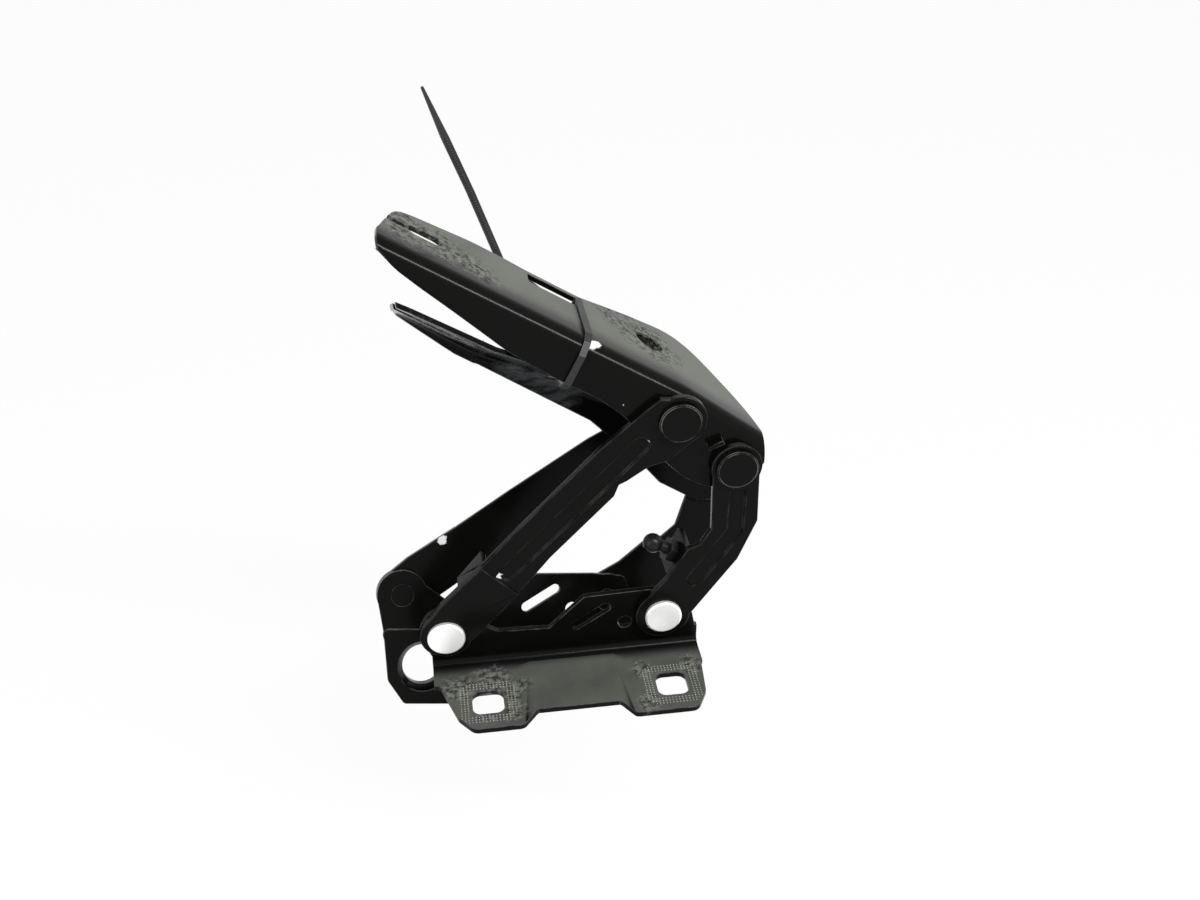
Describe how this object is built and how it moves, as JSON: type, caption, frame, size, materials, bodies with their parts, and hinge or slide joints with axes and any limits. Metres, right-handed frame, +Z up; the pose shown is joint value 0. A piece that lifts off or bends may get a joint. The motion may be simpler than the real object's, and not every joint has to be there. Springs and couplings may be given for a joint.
{
  "type": "bonnet hinge",
  "caption": "Left and right four-bar bonnet hinges of pressed steel with footed bases, riveted links and folded bonnet brackets, the left with a ball stud, lashed together by a cable tie.",
  "frame": {"origin": "midway between the two foot holes of the left base, on the underside of its feet", "axes": "+X rearward along the left base, +Y inboard from the left hinge to the right one, +Z up"},
  "size_m": [0.2026, 0.1469, 0.3183],
  "materials": {
    "black_paint": "black dip coat, satin, dusty on the flanges",
    "bright_zinc": "bright zinc",
    "dark_steel": "dark phosphated steel",
    "bush_bronze": "plain bearing bronze",
    "black_nylon": "matt nylon with a ribbed tail"
  },
  "bodies": {
    "left_base": {"left_base_bracket": "black_paint", "left_front_lower_rivet": "bright_zinc", "left_rear_lower_rivet": "bright_zinc", "left_front_lower_bush": "bush_bronze", "left_rear_lower_bush": "bush_bronze"},
    "left_front_arm": {"left_front_link": "black_paint"},
    "left_rear_arm": {"left_rear_link": "black_paint", "left_ball_stud": "dark_steel"},
    "bonnet_side": {"left_bonnet_bracket": "black_paint", "left_front_upper_rivet": "black_paint", "left_rear_upper_rivet": "black_paint", "left_front_upper_bush": "bush_bronze", "left_rear_upper_bush": "bush_bronze", "right_bonnet_bracket": "black_paint", "right_front_upper_rivet": "black_paint", "right_rear_upper_rivet": "black_paint", "right_front_upper_bush": "bush_bronze", "right_rear_upper_bush": "bush_bronze", "cable_tie": "black_nylon"},
    "right_front_arm": {"right_front_link": "black_paint"},
    "right_base": {"right_base_bracket": "black_paint", "right_front_lower_rivet": "black_paint", "right_rear_lower_rivet": "black_paint", "right_front_lower_bush": "bush_bronze", "right_rear_lower_bush": "bush_bronze"},
    "right_rear_arm": {"right_rear_link": "black_paint"}
  },
  "joints": [
    {"name": "left_front_lower", "type": "hinge", "parent": "left_base", "child": "left_front_arm", "pos_m": [-0.064, 0.031, 0.025], "axis": [0, -1, 0], "range_deg": [-21, 0]},
    {"name": "left_rear_lower", "type": "hinge", "parent": "left_base", "child": "left_rear_arm", "pos_m": [0.046, 0.031, 0.025], "axis": [0, -1, 0], "range_deg": [-34.61, 0]},
    {"name": "left_front_upper", "type": "hinge", "parent": "left_front_arm", "child": "bonnet_side", "pos_m": [0.05115, 0.031, 0.13895], "axis": [0, -1, 0], "range_deg": [0, 46.91]},
    {"name": "right_front_upper", "type": "hinge", "parent": "bonnet_side", "child": "right_front_arm", "pos_m": [0.05855, 0.11241, 0.0807], "axis": [0.124, -0.8823, 0.454], "range_deg": [-28.26, 18.84]},
    {"name": "right_front_lower", "type": "hinge", "parent": "right_front_arm", "child": "right_base", "pos_m": [-0.0855, 0.0635, 0.025], "axis": [0.124, -0.8823, 0.454], "range_deg": [-9.1, 13.6]},
    {"name": "right_rear_lower", "type": "hinge", "parent": "right_base", "child": "right_rear_arm", "pos_m": [0.02263, 0.06864, 0.00546], "axis": [0.124, -0.8823, 0.454], "range_deg": [-21.44, 14.33]}
  ],
  "couplings": [
    {"joint": "left_rear_lower", "follows": "left_front_lower", "ratio": 1.6433},
    {"joint": "left_front_upper", "follows": "left_front_lower", "ratio": -2.2291},
    {"joint": "right_front_lower", "follows": "right_front_upper", "ratio": -0.47767},
    {"joint": "right_rear_lower", "follows": "right_front_upper", "ratio": 0.75514}
  ]
}
